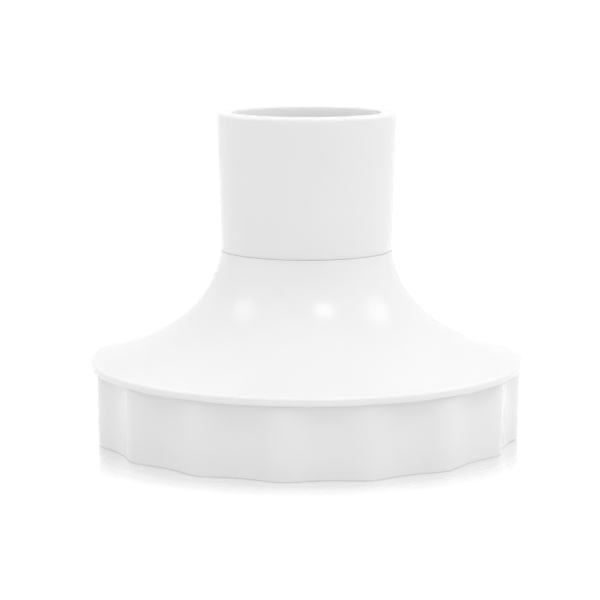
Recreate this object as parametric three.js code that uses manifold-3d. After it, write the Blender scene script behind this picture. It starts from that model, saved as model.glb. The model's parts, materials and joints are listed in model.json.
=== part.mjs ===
// Driving lid for the chopping bowl of a hand blender.
// The motor unit plugs into the collar at the top and turns a splined coupling. A planetary gear
// under the bell slows that down, and the blade's shaft plugs into a hexagonal socket underneath.
// The fluted skirt turns onto the bowl with four bayonet lugs, and a gasket seals the bowl's rim.
// Millimetres, +Z up. The origin is the centre of the skirt's bottom edge.

import * as THREE from "three";
import { mergeVertices } from "three/addons/utils/BufferGeometryUtils.js";
import Module from "manifold-3d";

const library = await Module();
library.setup();

// ---------------------------------------------------------------- clearances
const SEAT_GAP = 0.3; // between two pieces that rest on each other
const SIDE_GAP = 0.3; // beside a piece that sits in a recess
const PRESS_GAP = 0.15; // around a bush, a seal or a pin in its seat
const RUNNING_GAP = 0.15; // around a shaft or a pin that turns in its hole
const THREAD_GAP = 0.1; // around a screw's shank in its pilot hole
const BACKLASH = 0.15; // taken off each flank of a tooth, at the pitch circle
const OVERLAP = 1; // how far a shape that is joined or cut reaches past the face it meets

// ---------------------------------------------------------------- casing
const WALL = 2.4; // moulded walls, floors and flanges
const TOTAL_HEIGHT = 112.5;

const SKIRT_RADIUS = 72; // mean radius of the fluted wave at the bottom edge
const FLUTES = 16;
const FLUTE_WAVE = 1.3; // how far the wave rises and falls about the mean radius
const FLUTE_SHARPNESS = 0.12; // share of a second harmonic, which narrows the ridges
const SKIRT_DRAFT = 0.5; // how much wider the skirt is at its top
const STEPS_PER_FLUTE = 6;

const BRIM_OVERHANG = 3; // how far the brim stands out over the skirt's mean radius
const BRIM_BOTTOM = 24.8;
const BRIM_EDGE = 2.85; // height of the brim's edge
const BRIM_ROUNDING = 0.8;

const NECK_DROP = 1.1; // from the socket's floor down to the bell's top edge
const NECK_LIP = 0.1; // how far that edge stands out below the collar
const BELL_DROP = 21.8; // how far the bell's curve falls steeply below the neck
const BELL_LEAN = 2.9; // how far it moves out over that fall
const BELL_RUN = 21; // how far the curve runs nearly flat inside the brim
const BELL_RISE = 5.4; // how far it rises over that run
const BELL_STEPS = 10;

const COLLAR_FOOT_WALL = 1.9;
const COLLAR_FLARE = 1.3; // how much wider the rim is than the foot
const COLLAR_WALL = 2; // near the rim
const COLLAR_ROUNDING = 1.6;
const RIM_EASING = 0.5; // on the rim's inner edge
const RIM_SKIRT = 12; // how far the rim's own tube reaches down into the socket
const CATCH_DEPTH = 18.5; // from the rim down to the step that the liner snaps over

// ---------------------------------------------------------------- motor socket
const SOCKET_RADIUS = 25.6; // bore that takes the motor unit
const LINER_WALL = 1.8;
const SNAP_BEAD = 0.9; // how far the liner's bead stands out over the step
const SNAP_BEAD_HEIGHT = 1.8;
const LATCH_WIDTH = 14;
const LATCH_HEIGHT = 5;
const LATCH_DROP = 23.2; // from the rim down to the latch windows
const GUIDES = 4;
const GUIDE_WIDTH = 1.8;
const GUIDE_DEPTH = 1;
const GUIDE_DROP = 21.2; // from the rim down to the guides' tops

// ---------------------------------------------------------------- floor and bowl seat
const FLOOR_BOTTOM = 17;
const FLOOR_THICKNESS = 2.2;
const FLOOR_RIBS = 8;
const FLOOR_RIB_WIDTH = 1.8;
const FLOOR_RIB_HEIGHT = 1.9;
const GLAND_DEPTH = 3.4; // groove that holds the gasket
const GLAND_WALL = 1.3;
const GASKET_WIDTH = 4.1;
const GASKET_THICKNESS = 2.5;
const LEDGE_OVERHANG = 3.7; // how far the skirt's ledge reaches in over the floor's edge
const LEDGE_THICKNESS = 2;
const LOCATING_RIB = 1.8; // wall of the bell's rib inside the skirt
const LUGS = 4;
const LUG_BOTTOM = 2.5;
const LUG_HEIGHT = 3.5;
const LUG_REACH = 1.9; // how far the lugs stand in from the skirt's inner face
const LUG_ANGLE = 24; // degrees

// ---------------------------------------------------------------- gear train
const TOOTH_SIZE = 1; // the module: pitch diameter per tooth
const PRESSURE_ANGLE = 25; // degrees
const SUN_TEETH = 12;
const PLANET_TEETH = 18;
const PLANETS = 3;
const ADDENDUM = 0.9;
const DEDENDUM = 1.2;
const GEAR_WIDTH = 10;
const RING_WALL = 2.6;
const SHAFT_RADIUS = 3;
const SHAFT_FLAT = 2.4; // distance of the shaft's flats from its axis
const PIN_RADIUS = 2;
const PIN_SEAT = 4.5; // how deep a planet's pin sits in the carrier
const CARRIER_GAP = 1.1; // inside the tips of the ring gear's teeth
const CARRIER_WEB = 1.4; // between the output's spigot and its screw's head
const CARRIER_PLATE = 1.8;
const CARRIER_PLATE_BORE = 8;
const PILLAR_RADIUS = 3;
const PILLAR_EDGE = 2; // from the pillars out to the carrier's rim
const STAKE_RADIUS = 1.4;
const WASHER_THICKNESS = 0.8;
const WASHER_WIDTH = 3.8;
const BUSH_WALL = 2.3;
const BUSH_LENGTH = 8.4;
const BOSS_WALL = 2.4; // around a bush or a seal
const BOSS_WEB = 1.2; // between the bottom of a pocket and the next face
const CLIP_GROOVE = 0.7;
const CLIP_RADIUS = 5;
const SHAFT_SPAN = 4.1; // from the clip up to the upper bush

// ---------------------------------------------------------------- drives in and out
const COUPLING_HEIGHT = 16;
const COUPLING_SPLINES = 6;
const COUPLING_RADIUS = 6;
const SPLINE_DEPTH = 1.2;
const SPLINE_FOOT = 0.3; // half of a spline's foot, as a share of the pitch
const SPLINE_TIP = 0.22; // half of its tip, as a share of the pitch
const COUPLING_FLANGE = 1.8;
const COUPLING_FLANGE_REACH = 1.5; // out from the splines
const COUPLING_CAP = 2.4; // above the shaft's end

const OUTPUT_RADIUS = 7;
const OUTPUT_HEX = 9; // across the flats of the blade shaft's socket
const OUTPUT_HEX_DEPTH = 10;
const OUTPUT_DROP = 11.8; // from the gear cover's top face down to the socket's mouth
const OUTPUT_LIP = 1.7;
const OUTPUT_LIP_REACH = 2.2; // out from the hub
const SPIGOT_SHOULDER = 1.5; // from the hub in to the flats that drive the carrier
const SPIGOT_HEIGHT = 2.6;
const SEAL_HEIGHT = 2.5;
const SEAL_WIDTH = 3.35;
const ORING_INSET = 5.8; // from the floor's bore out to the middle of the O-ring
const ORING_RADIUS = 0.75;

// ---------------------------------------------------------------- fasteners
const SCREW_RADIUS = 1.5;
const SCREW_HEAD_RADIUS = 2.8;
const SCREW_HEAD = 1.7;
const SCREW_HEAD_SIDE = 1; // height of the head's straight side
const SCREW_HEAD_SLOPE = 0.6; // how far its outer face draws in
const SCREW_TIP = 0.8;
const SCREW_TIP_RADIUS = 0.6;
const RECESS_LENGTH = 3.2; // of the cross in the head
const RECESS_WIDTH = 0.7;
const RECESS_DEPTH = 0.9;
const SCREW_BOSS_RADIUS = 3.6;
const BOSS_GAP = 0.4; // between a boss and the wall beside it
const GEAR_SCREWS = 4;
const BOSS_STANDOFF = 2.4; // between the gear housing's wall and its bosses
const GEAR_SCREW_LENGTH = 14;
const COVER_SCREWS = 4;
const COVER_SCREW_LENGTH = 9.5;
const SOCKET_SCREWS = 3;
const SOCKET_SCREW_INSET = 7.1; // from the socket's wall in to its screws
const SOCKET_SCREW_LENGTH = 8.5;
const OUTPUT_SCREW_LENGTH = 5.5;

// Facets around a round piece.
const CASING_FACETS = 48;
const FLOOR_FACETS = 36;
const GEARBOX_FACETS = 24;
const BUSH_FACETS = 16;
const BOSS_FACETS = 12;
const SCREW_FACETS = 8;

// ---------------------------------------------------------------- radii that follow
const brimRadius = SKIRT_RADIUS + BRIM_OVERHANG;
const skirtInside = SKIRT_RADIUS - FLUTE_WAVE - WALL;
const floorRadius = skirtInside - 2 * SIDE_GAP;
const ribOutside = skirtInside - SIDE_GAP;
const ribInside = ribOutside - LOCATING_RIB;
const ledgeInside = floorRadius - LEDGE_OVERHANG;
const lugInside = skirtInside - LUG_REACH;
const glandOutside = floorRadius - GLAND_WALL;
const gasketOutside = glandOutside - SIDE_GAP;
const gasketInside = gasketOutside - GASKET_WIDTH;
const glandInside = gasketInside - SIDE_GAP;
const coverScrewCircle = glandInside - GLAND_WALL - BOSS_GAP - SCREW_BOSS_RADIUS;

const linerOutside = SOCKET_RADIUS + LINER_WALL;
const socketScrewCircle = SOCKET_RADIUS - SOCKET_SCREW_INSET;
const neckInside = linerOutside + SIDE_GAP;
const collarFootRadius = neckInside + COLLAR_FOOT_WALL;
const collarRimRadius = collarFootRadius + COLLAR_FLARE;
const collarInside = collarRimRadius - COLLAR_WALL;
const neckRadius = collarFootRadius + NECK_LIP;
const shaftBore = SHAFT_RADIUS + RUNNING_GAP;
const shaftHole = shaftBore + SIDE_GAP;
const bushOutside = shaftBore + BUSH_WALL;
const bushSeat = bushOutside + PRESS_GAP;
const bossOutside = bushSeat + BOSS_WALL;
const couplingCore = COUPLING_RADIUS - SPLINE_DEPTH;
const couplingFlangeRadius = COUPLING_RADIUS + COUPLING_FLANGE_REACH;
const spigotHex = 2 * (OUTPUT_RADIUS - SPIGOT_SHOULDER);
const outputLipRadius = OUTPUT_RADIUS + OUTPUT_LIP_REACH;
const outputBore = OUTPUT_RADIUS + RUNNING_GAP;
const outputBushOutside = outputBore + BUSH_WALL;
const sealOutside = outputBore + SEAL_WIDTH;
const sealSeat = sealOutside + PRESS_GAP;
const screwHole = SCREW_RADIUS + SIDE_GAP;
const pilotRadius = SCREW_RADIUS + THREAD_GAP;

const ringTeeth = SUN_TEETH + 2 * PLANET_TEETH;
const ringOutside = (TOOTH_SIZE * ringTeeth) / 2 + DEDENDUM + RING_WALL;
const planetCircle = (TOOTH_SIZE * (SUN_TEETH + PLANET_TEETH)) / 2;
const housingInside = ringOutside + SIDE_GAP;
const housingOutside = housingInside + WALL;
const gearScrewCircle = housingOutside + BOSS_STANDOFF + SCREW_BOSS_RADIUS;
const gearboxRadius = gearScrewCircle + SCREW_BOSS_RADIUS + SIDE_GAP;
const carrierRadius = (TOOTH_SIZE * ringTeeth) / 2 - ADDENDUM - CARRIER_GAP;
const pillarCircle = carrierRadius - PILLAR_EDGE - PILLAR_RADIUS;
const spigotInside = carrierRadius + 2 * SIDE_GAP;
const spigotOutside = spigotInside + GLAND_WALL;
const floorBore = spigotOutside + SIDE_GAP;
const oringCircle = floorBore + ORING_INSET;

// ---------------------------------------------------------------- heights that follow
const floorTop = FLOOR_BOTTOM + FLOOR_THICKNESS;
const ledgeBottom = floorTop + SEAT_GAP;
const ledgeTop = ledgeBottom + LEDGE_THICKNESS;
const skirtTop = BRIM_BOTTOM - SEAT_GAP;
const brimTop = BRIM_BOTTOM + BRIM_EDGE;

const coverTop = FLOOR_BOTTOM - SEAT_GAP;
const coverBottom = coverTop - WALL;
const outputMouth = coverTop - OUTPUT_DROP;
const sealBottom = outputMouth + OUTPUT_LIP + SEAT_GAP;
const sealPocketTop = sealBottom + SEAL_HEIGHT + SEAT_GAP;
const outputBushPocket = sealPocketTop + BOSS_WEB;
const washerBottom = coverTop + SEAT_GAP;
const outputShoulder = washerBottom + WASHER_THICKNESS;
const carrierBottom = outputShoulder + SEAT_GAP;
const spigotTop = carrierBottom + SPIGOT_HEIGHT;
const carrierWebBottom = spigotTop + SEAT_GAP;
const outputScrewSeat = carrierWebBottom + CARRIER_WEB + SEAT_GAP;
const carrierTop = outputScrewSeat + SCREW_HEAD;
const gearBottom = carrierTop + SEAT_GAP;
const gearTop = gearBottom + GEAR_WIDTH;
const pillarTop = gearTop + SEAT_GAP;
const plateBottom = pillarTop + SEAT_GAP;
const plateTop = plateBottom + CARRIER_PLATE;
const sunWasherBottom = plateTop + SEAT_GAP;
const housingCeiling = sunWasherBottom + WASHER_THICKNESS + SEAT_GAP;
const housingTop = housingCeiling + WALL;
const lowerBushPocket = housingCeiling + BOSS_WEB;
const lowerBushBottom = lowerBushPocket + SEAT_GAP;
const lowerBushTop = lowerBushBottom + BUSH_LENGTH;
const clipBottom = lowerBushTop + 2 * SEAT_GAP;
const ringBottom = floorTop + SEAT_GAP;
const ringFlangeTop = ringBottom + WALL;
const housingBottom = ringFlangeTop + SEAT_GAP;

const clipTop = clipBottom + WASHER_THICKNESS;
const upperBushBottom = clipTop + SHAFT_SPAN;
const upperBushTop = upperBushBottom + BUSH_LENGTH;
const upperBushPocket = upperBushTop + SEAT_GAP;
const linerFoot = upperBushPocket + BOSS_WEB;
const socketFloor = linerFoot + WALL;
const shelfTop = linerFoot - SEAT_GAP;
const shelfBottom = shelfTop - WALL;
const couplingBottom = socketFloor + SEAT_GAP;
const shaftTop = couplingBottom + COUPLING_HEIGHT - COUPLING_CAP;
const neckTop = socketFloor - NECK_DROP;
const collarFoot = neckTop + SEAT_GAP;
const catchTop = TOTAL_HEIGHT - CATCH_DEPTH;
const linerTop = TOTAL_HEIGHT - RIM_SKIRT - SEAT_GAP;

const gearScrewSeat = coverBottom - SEAT_GAP;
const coverScrewSeat = FLOOR_BOTTOM - SEAT_GAP;
const socketScrewSeat = socketFloor + SEAT_GAP;

// ---------------------------------------------------------------- materials
function finish(color, roughness, metalness = 0) {
  return new THREE.MeshStandardMaterial({ color, roughness, metalness, flatShading: true });
}

const whiteGloss = finish(0xf4f4f4, 0.25);
const whiteSatin = finish(0xececeb, 0.45);
const greyPlastic = finish(0xb9bcc0, 0.45);
const acetal = finish(0xeeebe0, 0.4);
const steel = finish(0xb8babd, 0.3, 1);
const bronze = finish(0xa9824c, 0.45, 1);
const blackRubber = finish(0x2a2a2b, 0.8);
const silicone = finish(0xdcdfe0, 0.6);

// ---------------------------------------------------------------- solids
// A closed geometry as a solid that can be joined and cut. A solid is passed through.
function solidOf(shape) {
  if (!shape.isBufferGeometry) return shape;
  const bare = shape.clone();
  bare.deleteAttribute("normal");
  bare.deleteAttribute("uv");
  const merged = mergeVertices(bare, 1e-4);
  const corners = merged.index ? merged.index.array : [];
  const triVerts = [];
  for (let i = 0; i < corners.length; i += 3) {
    const [a, b, c] = corners.slice(i, i + 3);
    if (a !== b && b !== c && c !== a) triVerts.push(a, b, c);
  }
  const mesh = new library.Mesh({
    numProp: 3,
    vertProperties: merged.attributes.position.array,
    triVerts: new Uint32Array(triVerts),
  });
  return new library.Manifold(mesh);
}

function geometryOf(shape) {
  const mesh = solidOf(shape).getMesh();
  const geometry = new THREE.BufferGeometry();
  geometry.setAttribute("position", new THREE.BufferAttribute(mesh.vertProperties, 3));
  geometry.setIndex(new THREE.BufferAttribute(mesh.triVerts, 1));
  return geometry;
}

function joined(...shapes) {
  return shapes.flat().map(solidOf).reduce((sum, next) => sum.add(next));
}

function cut(shape, ...tools) {
  return tools.flat().map(solidOf).reduce((rest, tool) => rest.subtract(tool), solidOf(shape));
}

function common(shape, other) {
  return solidOf(shape).intersect(solidOf(other));
}

// Copies of a geometry, moved out along +X and spread evenly about +Z from a first angle.
function spread(geometry, count, radius, firstAngle = 0) {
  return Array.from({ length: count }, (_, i) =>
    geometry.clone().translate(radius, 0, 0).rotateZ(firstAngle + (2 * Math.PI * i) / count),
  );
}

// ---------------------------------------------------------------- basic shapes
// A profile of [radius, height] points turned about +Z. It runs anticlockwise with the axis on its
// left, and either closes on itself or starts and ends on the axis.
function turned(profile, facets) {
  const points = profile.map(([radius, height]) => new THREE.Vector2(radius, height));
  if (profile[0][0] > 0) points.push(points[0].clone());
  return new THREE.LatheGeometry(points, facets).rotateX(Math.PI / 2);
}

function tube(inside, outside, bottom, top, facets) {
  return turned([[inside, bottom], [outside, bottom], [outside, top], [inside, top]], facets);
}

function rod(radius, bottom, top, facets = SCREW_FACETS) {
  return turned([[0, bottom], [radius, bottom], [radius, top], [0, top]], facets);
}

function block(length, width, bottom, top) {
  const height = top - bottom;
  return new THREE.BoxGeometry(length, width, height).translate(0, 0, bottom + height / 2);
}

// A flat outline, with an optional hole in it, raised from one height to another.
function raised(outline, bottom, top, hole = null) {
  const shape = new THREE.Shape(outline);
  if (hole) shape.holes.push(new THREE.Path(hole));
  const depth = top - bottom;
  const geometry = new THREE.ExtrudeGeometry(shape, { depth, bevelEnabled: false, steps: 1 });
  return geometry.translate(0, 0, bottom);
}

function polar(radius, angle) {
  return new THREE.Vector2(radius * Math.cos(angle), radius * Math.sin(angle));
}

function circle(radius, facets) {
  return Array.from({ length: facets }, (_, i) => polar(radius, (2 * Math.PI * i) / facets));
}

function hexagon(acrossFlats) {
  return circle(acrossFlats / 2 / Math.cos(Math.PI / 6), 6);
}

// Points on a quarter circle, from its outermost point up to its highest.
function quarter(centreRadius, centreHeight, rounding, steps) {
  return Array.from({ length: steps + 1 }, (_, i) => {
    const point = polar(rounding, (Math.PI / 2) * (i / steps));
    return [centreRadius + point.x, centreHeight + point.y];
  });
}

// ---------------------------------------------------------------- casing
// The fluted outline of the skirt, moved in by an inset. A ridge lies on each axis.
function flutedOutline(inset) {
  const count = FLUTES * STEPS_PER_FLUTE;
  return Array.from({ length: count }, (_, i) => {
    const angle = (2 * Math.PI * i) / count;
    const wave = Math.cos(FLUTES * angle) + FLUTE_SHARPNESS * Math.cos(2 * FLUTES * angle);
    return polar(SKIRT_RADIUS - inset + FLUTE_WAVE * wave, angle);
  });
}

function skirtRing() {
  const wall = raised(flutedOutline(0), 0, skirtTop, flutedOutline(WALL));
  const place = wall.attributes.position;
  for (let i = 0; i < place.count; i += 1) {
    const draft = 1 + (SKIRT_DRAFT / SKIRT_RADIUS) * (place.getZ(i) / skirtTop);
    place.setXY(i, place.getX(i) * draft, place.getY(i) * draft);
  }
  const middle = flutedOutline(WALL / 2);
  const ledge = raised(middle, ledgeBottom, ledgeTop, circle(ledgeInside, CASING_FACETS));
  const lugTop = LUG_BOTTOM + LUG_HEIGHT;
  const lugRing = raised(middle, LUG_BOTTOM, lugTop, circle(lugInside, CASING_FACETS));
  const half = (LUG_ANGLE * Math.PI) / 360;
  const far = 2 * SKIRT_RADIUS;
  const sector = raised([new THREE.Vector2(), polar(far, -half), polar(far, half)], 0, skirtTop);
  const lugs = spread(sector, LUGS, 0, Math.PI / LUGS).map((copy) => common(lugRing, copy));
  return joined(wall, ledge, lugs);
}

// Points on the bell's curve, from the brim up to the neck, moved in by an inset.
function bellCurve(inset, steps) {
  const brimInside = brimRadius - BRIM_ROUNDING;
  const curve = new THREE.CubicBezierCurve(
    new THREE.Vector2(brimInside, brimTop),
    new THREE.Vector2(brimInside - BELL_RUN, brimTop + BELL_RISE),
    new THREE.Vector2(neckRadius + BELL_LEAN, neckTop - BELL_DROP),
    new THREE.Vector2(neckRadius, neckTop),
  );
  return Array.from({ length: steps + 1 }, (_, i) => {
    const at = curve.getPoint(i / steps);
    const along = curve.getTangent(i / steps);
    return [at.x - along.y * inset, at.y + along.x * inset];
  });
}

// The bell's inner face, from the locating rib up to the throat's shelf.
function bellInside(steps) {
  const fine = bellCurve(WALL, 40 * steps);
  const face = fine.filter(([radius, height]) => radius < ribInside && height < shelfBottom);
  const last = face.length - 1;
  const points = Array.from({ length: steps + 1 }, (_, i) => face[Math.round((last * i) / steps)]);
  points[0] = [ribInside, points[0][1]];
  points[steps] = [points[steps][0], shelfBottom];
  return points;
}

function bellCover() {
  const ribBottom = ledgeTop + SEAT_GAP;
  const bossHole = bossOutside + SIDE_GAP;
  const shell = turned(
    [
      [ribInside, ribBottom],
      [ribOutside, ribBottom],
      [ribOutside, BRIM_BOTTOM],
      [brimRadius - BRIM_ROUNDING, BRIM_BOTTOM],
      [brimRadius, BRIM_BOTTOM + BRIM_ROUNDING],
      [brimRadius, brimTop - BRIM_ROUNDING],
      ...bellCurve(0, BELL_STEPS),
      [neckInside, neckTop],
      [neckInside, shelfTop],
      [bossHole, shelfTop],
      [bossHole, shelfBottom],
      ...bellInside(5).reverse(),
    ],
    CASING_FACETS,
  );
  const middle = bellCurve(WALL / 2, BELL_STEPS);
  const core = turned([[0, 0], [middle[0][0], 0], ...middle, [0, middle.at(-1)[1]]], CASING_FACETS);
  const coverBoss = rod(SCREW_BOSS_RADIUS, floorTop + SEAT_GAP, neckTop, BOSS_FACETS);
  const coverBosses = spread(coverBoss, COVER_SCREWS, coverScrewCircle);
  const coverPilot = rod(pilotRadius, 0, coverScrewSeat + COVER_SCREW_LENGTH + SEAT_GAP);
  const pilotBottom = socketScrewSeat - SOCKET_SCREW_LENGTH - SEAT_GAP;
  const middleOfShelf = (shelfBottom + shelfTop) / 2;
  const socketBoss = rod(SCREW_BOSS_RADIUS, pilotBottom - BOSS_WEB, middleOfShelf, BOSS_FACETS);
  const socketPilot = rod(pilotRadius, pilotBottom, shelfTop + OVERLAP);
  return cut(
    joined(
      shell,
      coverBosses.map((boss) => common(boss, core)),
      spread(socketBoss, SOCKET_SCREWS, socketScrewCircle),
    ),
    spread(coverPilot, COVER_SCREWS, coverScrewCircle),
    spread(socketPilot, SOCKET_SCREWS, socketScrewCircle),
  );
}

function collarSleeve() {
  const rimInside = TOTAL_HEIGHT - WALL;
  const roundingRadius = collarRimRadius - COLLAR_ROUNDING;
  return turned(
    [
      [neckInside, collarFoot],
      [collarFootRadius, collarFoot],
      ...quarter(roundingRadius, TOTAL_HEIGHT - COLLAR_ROUNDING, COLLAR_ROUNDING, 3),
      [SOCKET_RADIUS + RIM_EASING, TOTAL_HEIGHT],
      [SOCKET_RADIUS, TOTAL_HEIGHT - RIM_EASING],
      [SOCKET_RADIUS, TOTAL_HEIGHT - RIM_SKIRT],
      [linerOutside, TOTAL_HEIGHT - RIM_SKIRT],
      [linerOutside, rimInside],
      [collarInside, rimInside],
      [collarInside, catchTop],
      [neckInside, catchTop],
    ],
    CASING_FACETS,
  );
}

function socketLiner() {
  const beadBottom = catchTop + SEAT_GAP;
  const cup = turned(
    [
      [bushSeat, upperBushBottom],
      [bossOutside, upperBushBottom],
      [bossOutside, linerFoot],
      [linerOutside, linerFoot],
      [linerOutside, beadBottom],
      [linerOutside + SNAP_BEAD, beadBottom],
      [linerOutside + SNAP_BEAD, beadBottom + SNAP_BEAD_HEIGHT / 2],
      [linerOutside, beadBottom + SNAP_BEAD_HEIGHT],
      [linerOutside, linerTop],
      [SOCKET_RADIUS, linerTop],
      [SOCKET_RADIUS, socketFloor],
      [shaftHole, socketFloor],
      [shaftHole, upperBushPocket],
      [bushSeat, upperBushPocket],
    ],
    FLOOR_FACETS,
  );
  const guideRadius = SOCKET_RADIUS + (LINER_WALL / 2 - GUIDE_DEPTH) / 2;
  const guideThickness = GUIDE_DEPTH + LINER_WALL / 2;
  const guideTop = TOTAL_HEIGHT - GUIDE_DROP;
  const guide = block(guideThickness, GUIDE_WIDTH, socketFloor - OVERLAP, guideTop);
  const latchTop = TOTAL_HEIGHT - LATCH_DROP;
  const latch = block(4 * linerOutside, LATCH_WIDTH, latchTop - LATCH_HEIGHT, latchTop);
  const hole = rod(screwHole, linerFoot - OVERLAP, socketFloor + OVERLAP);
  return cut(
    joined(cup, spread(guide, GUIDES, guideRadius, Math.PI / GUIDES)),
    latch,
    spread(hole, SOCKET_SCREWS, socketScrewCircle),
  );
}

// ---------------------------------------------------------------- floor and seals
function lidFloor() {
  const glandBottom = FLOOR_BOTTOM - GLAND_DEPTH;
  const disc = turned(
    [
      [floorBore, FLOOR_BOTTOM],
      [glandInside - GLAND_WALL, FLOOR_BOTTOM],
      [glandInside - GLAND_WALL, glandBottom],
      [glandInside, glandBottom],
      [glandInside, FLOOR_BOTTOM],
      [glandOutside, FLOOR_BOTTOM],
      [glandOutside, glandBottom],
      [floorRadius, glandBottom],
      [floorRadius, floorTop],
      [floorBore, floorTop],
    ],
    FLOOR_FACETS,
  );
  const ribStart = gearboxRadius + SIDE_GAP;
  const ribEnd = ledgeInside - SIDE_GAP;
  const ribMiddle = (ribStart + ribEnd) / 2;
  const ribTop = floorTop + FLOOR_RIB_HEIGHT;
  const rib = block(ribEnd - ribStart, FLOOR_RIB_WIDTH, floorTop - OVERLAP, ribTop);
  const hole = rod(screwHole, FLOOR_BOTTOM - OVERLAP, floorTop + OVERLAP);
  return cut(
    joined(disc, spread(rib, FLOOR_RIBS, ribMiddle, Math.PI / FLOOR_RIBS)),
    spread(hole, GEAR_SCREWS, gearScrewCircle, Math.PI / GEAR_SCREWS),
    spread(hole, COVER_SCREWS, coverScrewCircle),
  );
}

function gearCover() {
  const grooveInside = oringCircle - ORING_RADIUS - PRESS_GAP;
  const grooveOutside = oringCircle + ORING_RADIUS + PRESS_GAP;
  const grooveBottom = FLOOR_BOTTOM - 2 * ORING_RADIUS - 2 * PRESS_GAP;
  const spigotTopFace = floorTop - SEAT_GAP;
  const disc = turned(
    [
      [sealSeat, sealBottom],
      [sealSeat + BOSS_WALL, sealBottom],
      [sealSeat + BOSS_WALL, coverBottom],
      [gearboxRadius, coverBottom],
      [gearboxRadius, coverTop],
      [grooveOutside, coverTop],
      [grooveOutside, grooveBottom],
      [grooveInside, grooveBottom],
      [grooveInside, coverTop],
      [spigotOutside, coverTop],
      [spigotOutside, spigotTopFace],
      [spigotInside, spigotTopFace],
      [spigotInside, coverTop],
      [outputBushOutside + PRESS_GAP, coverTop],
      [outputBushOutside + PRESS_GAP, outputBushPocket],
      [outputBore + PRESS_GAP, outputBushPocket],
      [outputBore + PRESS_GAP, sealPocketTop],
      [sealSeat, sealPocketTop],
    ],
    GEARBOX_FACETS,
  );
  const hole = rod(screwHole, coverBottom - OVERLAP, coverTop + OVERLAP);
  return cut(disc, spread(hole, GEAR_SCREWS, gearScrewCircle, Math.PI / GEAR_SCREWS));
}

// ---------------------------------------------------------------- gearbox
function involuteAngle(base, radius) {
  const pressure = Math.acos(Math.min(1, base / radius));
  return Math.tan(pressure) - pressure;
}

// The outline of an involute gear, with a tooth on +X. For a ring gear it is the outline of the
// opening, whose teeth are the ring's gaps, with one of the ring's own teeth on +X. A ring's
// flanks are nearly flat, so they are drawn straight.
function gearOutline(teeth, isRing = false) {
  const pitch = (TOOTH_SIZE * teeth) / 2;
  const base = pitch * Math.cos((PRESSURE_ANGLE * Math.PI) / 180);
  const tip = pitch + (isRing ? DEDENDUM : ADDENDUM);
  const root = pitch - (isRing ? ADDENDUM : DEDENDUM);
  const thinning = (isRing ? -BACKLASH : BACKLASH) / pitch;
  const halfTooth = Math.PI / (2 * teeth) - thinning + involuteAngle(base, pitch);
  const flankStart = Math.max(base, root);
  const flank = isRing ? [flankStart, tip] : [flankStart, (flankStart + tip) / 2, tip];
  const half = flank.map((radius) => halfTooth - involuteAngle(base, radius));
  const tooth = [
    ...flank.map((radius, i) => [radius, -half[i]]),
    ...flank.map((radius, i) => [radius, half[i]]).reverse(),
  ];
  if (root < base) {
    tooth.unshift([root, -half[0]]);
    tooth.push([root, half[0]]);
  }
  const turn = isRing ? Math.PI / teeth : 0;
  return Array.from({ length: teeth }, (_, i) =>
    tooth.map(([radius, angle]) => polar(radius, turn + angle + (2 * Math.PI * i) / teeth)),
  ).flat();
}

// What a flat takes off the shaft or leaves in its bore, between two heights.
function flatWaste(clearance, bottom, top) {
  const size = 4 * SHAFT_RADIUS;
  return block(size, size, bottom, top).translate(SHAFT_FLAT + clearance + size / 2, 0, 0);
}

function keyedBore(bottom, top) {
  const bar = rod(shaftBore, bottom, top, BUSH_FACETS);
  return cut(bar, flatWaste(RUNNING_GAP, bottom - OVERLAP, top + OVERLAP));
}

function inputShaft() {
  const bar = rod(SHAFT_RADIUS, gearBottom, shaftTop, BUSH_FACETS);
  const grooveBottom = clipBottom - PRESS_GAP;
  const grooveTop = clipTop + PRESS_GAP;
  const neck = SHAFT_RADIUS - CLIP_GROOVE;
  return cut(
    bar,
    flatWaste(0, gearBottom - OVERLAP, sunWasherBottom - SEAT_GAP),
    flatWaste(0, couplingBottom, shaftTop + OVERLAP),
    tube(neck, SHAFT_RADIUS + OVERLAP, grooveBottom, grooveTop, BUSH_FACETS),
  );
}

function shaftClip() {
  const inside = SHAFT_RADIUS - CLIP_GROOVE + PRESS_GAP;
  const ring = tube(inside, CLIP_RADIUS, 0, WASHER_THICKNESS, BUSH_FACETS);
  const mouth = block(2 * CLIP_RADIUS, 2 * inside, -OVERLAP, WASHER_THICKNESS + OVERLAP);
  return cut(ring, mouth.translate(CLIP_RADIUS, 0, 0));
}

function driveCoupling() {
  const step = (2 * Math.PI) / COUPLING_SPLINES;
  const splines = Array.from({ length: COUPLING_SPLINES }, (_, i) => [
    polar(couplingCore, step * (i - SPLINE_FOOT)),
    polar(COUPLING_RADIUS, step * (i - SPLINE_TIP)),
    polar(COUPLING_RADIUS, step * (i + SPLINE_TIP)),
    polar(couplingCore, step * (i + SPLINE_FOOT)),
  ]).flat();
  const plug = raised(splines, COUPLING_FLANGE - OVERLAP, COUPLING_HEIGHT);
  const flange = rod(couplingFlangeRadius, 0, COUPLING_FLANGE, BUSH_FACETS);
  const boreTop = COUPLING_HEIGHT - COUPLING_CAP + SEAT_GAP;
  return cut(joined(flange, plug), keyedBore(-OVERLAP, boreTop));
}

function sunGear() {
  const length = sunWasherBottom - SEAT_GAP - gearBottom;
  const teeth = raised(gearOutline(SUN_TEETH), 0, GEAR_WIDTH);
  const hub = rod(shaftBore + BUSH_WALL - SIDE_GAP, GEAR_WIDTH - OVERLAP, length, BUSH_FACETS);
  return cut(joined(teeth, hub), keyedBore(-OVERLAP, length + OVERLAP));
}

function planetGear() {
  const bore = circle(PIN_RADIUS + RUNNING_GAP, BOSS_FACETS);
  const gear = raised(gearOutline(PLANET_TEETH), 0, GEAR_WIDTH, bore);
  return gear.rotateZ(Math.PI / PLANET_TEETH);
}

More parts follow.
